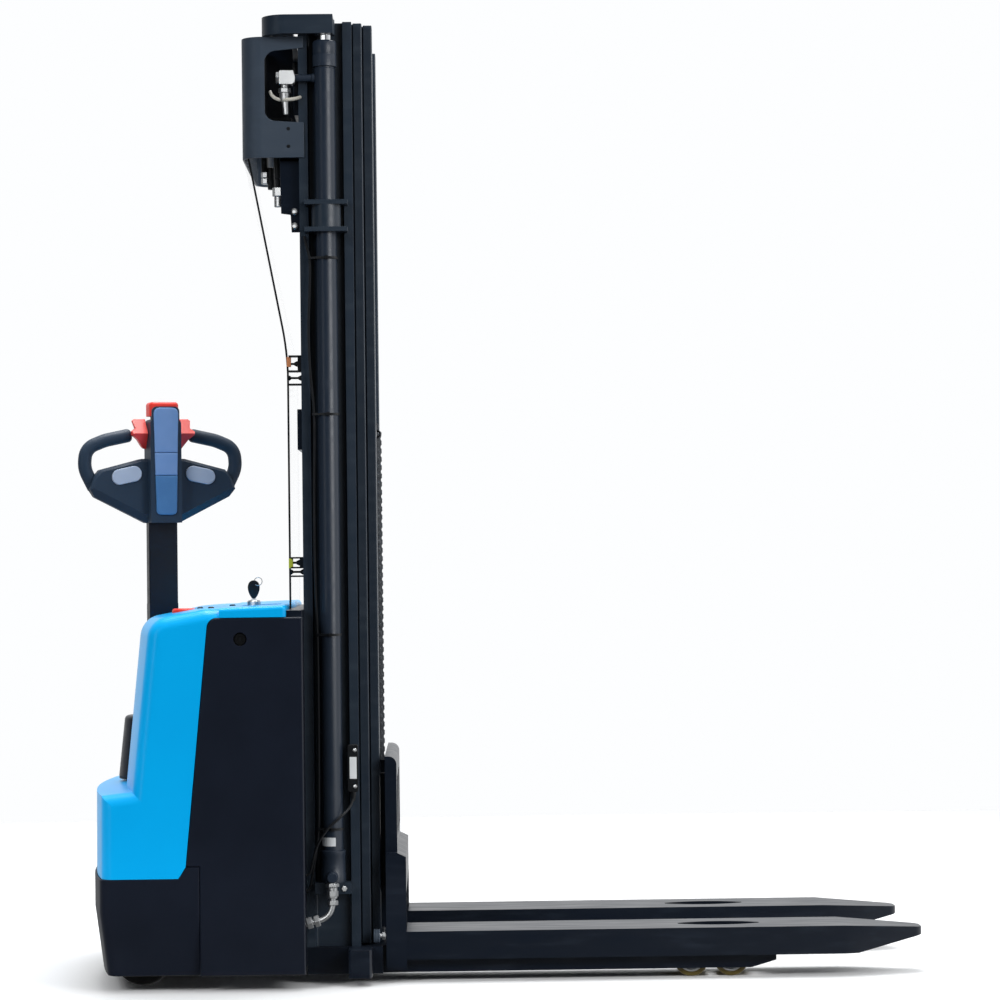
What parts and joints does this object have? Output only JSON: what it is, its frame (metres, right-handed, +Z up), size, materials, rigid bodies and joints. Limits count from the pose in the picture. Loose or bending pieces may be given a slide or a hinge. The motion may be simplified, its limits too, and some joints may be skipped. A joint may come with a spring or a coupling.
{
  "type": "electric stacker",
  "caption": "Pedestrian electric stacker: three-stage mast with side lift cylinders and leaf chain, forks over support legs, moulded blue rear body and steering tiller with thumb controls.",
  "frame": {"origin": "on the floor below the middle of the whole machine's box", "axes": "+X towards the fork tips, +Y to the machine's left, +Z up"},
  "size_m": [1.8921, 0.8, 2.14],
  "materials": {
    "blue_cover": "gloss moulded cover",
    "black_plastic": "satin moulded plastic",
    "black_paint": "semi-gloss paint",
    "cylinder_paint": "semi-gloss paint",
    "rod_chrome": "polished",
    "steel": "zinc plated",
    "chain_steel": "oiled",
    "drive_casting": "painted casting",
    "tank_paint": "satin paint",
    "battery_case": "satin",
    "tyre_rubber": "matte",
    "roller_polyurethane": "satin polyurethane",
    "strip_grey": "satin",
    "thumb_grey": "satin",
    "control_red": "gloss",
    "black_trim": "satin",
    "clear_screen": "clear sheet"
  },
  "bodies": {
    "chassis": {"chassis_frame": "black_paint", "outer_ties": "black_paint", "rear_cover": "blue_cover", "deck_cover": "blue_cover", "bumper": "black_plastic", "battery": "battery_case", "power_pack": "tank_paint", "estop_base": "black_plastic", "key_switch": "steel", "hose_guard": "black_paint", "screen": "clear_screen", "screen_clips": "steel", "hydraulic_lines": "steel", "height_sensor": "black_trim", "cables": "black_trim", "outer_rail_left": "black_paint", "outer_rail_right": "black_paint", "lift_cylinder_left": "cylinder_paint", "lift_cylinder_right": "cylinder_paint", "leg_left": "black_paint", "leg_right": "black_paint", "side_panel_left": "black_plastic", "side_panel_right": "black_plastic"},
    "steering": {"drive_unit": "drive_casting", "turret": "black_paint"},
    "drive_wheel": {"drive_wheel": "tyre_rubber"},
    "tiller": {"tiller_arm": "black_paint", "tiller_head": "black_plastic", "head_strip": "strip_grey"},
    "throttle": {"throttle": "control_red"},
    "belly_button": {"belly_button": "control_red"},
    "thumb_left": {"thumb_button_left": "thumb_grey"},
    "thumb_right": {"thumb_button_right": "thumb_grey"},
    "castor_left": {"castor_yoke_left": "steel"},
    "castor_right": {"castor_yoke_right": "steel"},
    "castor_wheel_left": {"castor_wheel_left": "tyre_rubber"},
    "castor_wheel_right": {"castor_wheel_right": "tyre_rubber"},
    "load_roller_rear_left": {"load_roller_rear_left": "roller_polyurethane"},
    "load_roller_rear_right": {"load_roller_rear_right": "roller_polyurethane"},
    "load_roller_front_left": {"load_roller_front_left": "roller_polyurethane"},
    "load_roller_front_right": {"load_roller_front_right": "roller_polyurethane"},
    "middle_mast": {"middle_tie": "black_paint", "crosshead": "black_paint", "middle_rail_left": "black_paint", "middle_rail_right": "black_paint", "lift_rod_left": "rod_chrome", "lift_rod_right": "rod_chrome"},
    "inner_mast": {"inner_tie": "black_paint", "free_lift_barrel": "cylinder_paint", "chain_rear": "chain_steel", "inner_rail_left": "black_paint", "inner_rail_right": "black_paint"},
    "free_lift": {"free_lift_rod": "rod_chrome", "chain_front": "chain_steel"},
    "chain_pulley": {"chain_pulley": "steel"},
    "fork_carriage": {"carriage": "black_paint", "fork_left": "black_paint", "fork_right": "black_paint"},
    "estop": {"estop_button": "control_red"},
    "key": {"key": "black_trim"}
  },
  "joints": [
    {"name": "steer", "type": "hinge", "parent": "chassis", "child": "steering", "pos_m": [-0.7585, 0, 0.3], "axis": [0, 0, 1], "range_deg": [-18, 162]},
    {"name": "drive_wheel_spin", "type": "hinge", "parent": "steering", "child": "drive_wheel", "pos_m": [-0.7585, 0, 0.115], "axis": [0.9511, 0.309, 0], "continuous": true},
    {"name": "tiller_tilt", "type": "hinge", "parent": "steering", "child": "tiller", "pos_m": [-0.7585, 0, 0.775], "axis": [-0.9511, -0.309, 0], "range_deg": [0, 65], "stiffness_Nm_per_rad": 15, "springref_deg": -20.05},
    {"name": "throttle_turn", "type": "hinge", "parent": "tiller", "child": "throttle", "pos_m": [-0.75294, -0.01712, 1.229], "axis": [0.9511, 0.309, 0], "range_deg": [-20, 20], "stiffness_Nm_per_rad": 0.6},
    {"name": "belly_push", "type": "slide", "parent": "tiller", "child": "belly_button", "axis": [0, 0, -1], "range_m": [0, 0.006], "stiffness_N_per_m": 1500},
    {"name": "thumb_push_left", "type": "slide", "parent": "tiller", "child": "thumb_left", "axis": [-0.309, 0.9511, 0], "range_m": [0, 0.003], "stiffness_N_per_m": 900},
    {"name": "thumb_push_right", "type": "slide", "parent": "tiller", "child": "thumb_right", "axis": [-0.309, 0.9511, 0], "range_m": [0, 0.003], "stiffness_N_per_m": 900},
    {"name": "mast_lift", "type": "slide", "parent": "chassis", "child": "middle_mast", "axis": [0, 0, 1], "range_m": [0, 1.5]},
    {"name": "inner_lift", "type": "slide", "parent": "middle_mast", "child": "inner_mast", "axis": [0, 0, 1], "range_m": [0, 1.5]},
    {"name": "carriage_lift", "type": "slide", "parent": "inner_mast", "child": "fork_carriage", "axis": [0, 0, 1], "range_m": [0, 1.3], "deforming": ["chain_front"]},
    {"name": "free_lift", "type": "slide", "parent": "inner_mast", "child": "free_lift", "axis": [0, 0, 1], "range_m": [0, 0.65], "deforming": ["chain_rear"]},
    {"name": "pulley_spin", "type": "hinge", "parent": "free_lift", "child": "chain_pulley", "pos_m": [-0.309, 0, 1.222], "axis": [0, -1, 0], "range_deg": [0, 833]},
    {"name": "estop_push", "type": "slide", "parent": "chassis", "child": "estop", "axis": [0, 0, -1], "range_m": [0, 0.005], "stiffness_N_per_m": 1500},
    {"name": "key_turn", "type": "hinge", "parent": "chassis", "child": "key", "pos_m": [-0.54, -0.15, 0.85], "axis": [0, 0, 1], "range_deg": [0, 90]},
    {"name": "castor_swivel_left", "type": "hinge", "parent": "chassis", "child": "castor_left", "pos_m": [-0.755, 0.248, 0.15], "axis": [0, 0, 1], "continuous": true},
    {"name": "castor_spin_left", "type": "hinge", "parent": "castor_left", "child": "castor_wheel_left", "pos_m": [-0.785, 0.248, 0.065], "axis": [0, 1, 0], "continuous": true},
    {"name": "load_roller_rear_left_spin", "type": "hinge", "parent": "chassis", "child": "load_roller_rear_left", "pos_m": [0.4295, 0.2, 0.039], "axis": [0, 1, 0], "continuous": true},
    {"name": "load_roller_front_left_spin", "type": "hinge", "parent": "chassis", "child": "load_roller_front_left", "pos_m": [0.5185, 0.2, 0.039], "axis": [0, 1, 0], "continuous": true},
    {"name": "castor_swivel_right", "type": "hinge", "parent": "chassis", "child": "castor_right", "pos_m": [-0.755, -0.248, 0.15], "axis": [0, 0, 1], "continuous": true},
    {"name": "castor_spin_right", "type": "hinge", "parent": "castor_right", "child": "castor_wheel_right", "pos_m": [-0.785, -0.248, 0.065], "axis": [0, 1, 0], "continuous": true},
    {"name": "load_roller_rear_right_spin", "type": "hinge", "parent": "chassis", "child": "load_roller_rear_right", "pos_m": [0.4295, -0.2, 0.039], "axis": [0, 1, 0], "continuous": true},
    {"name": "load_roller_front_right_spin", "type": "hinge", "parent": "chassis", "child": "load_roller_front_right", "pos_m": [0.5185, -0.2, 0.039], "axis": [0, 1, 0], "continuous": true}
  ],
  "couplings": [
    {"joint": "inner_lift", "follows": "mast_lift", "ratio": 1},
    {"joint": "free_lift", "follows": "carriage_lift", "ratio": 0.5},
    {"joint": "pulley_spin", "follows": "carriage_lift", "rad_per_m": 11.111}
  ]
}
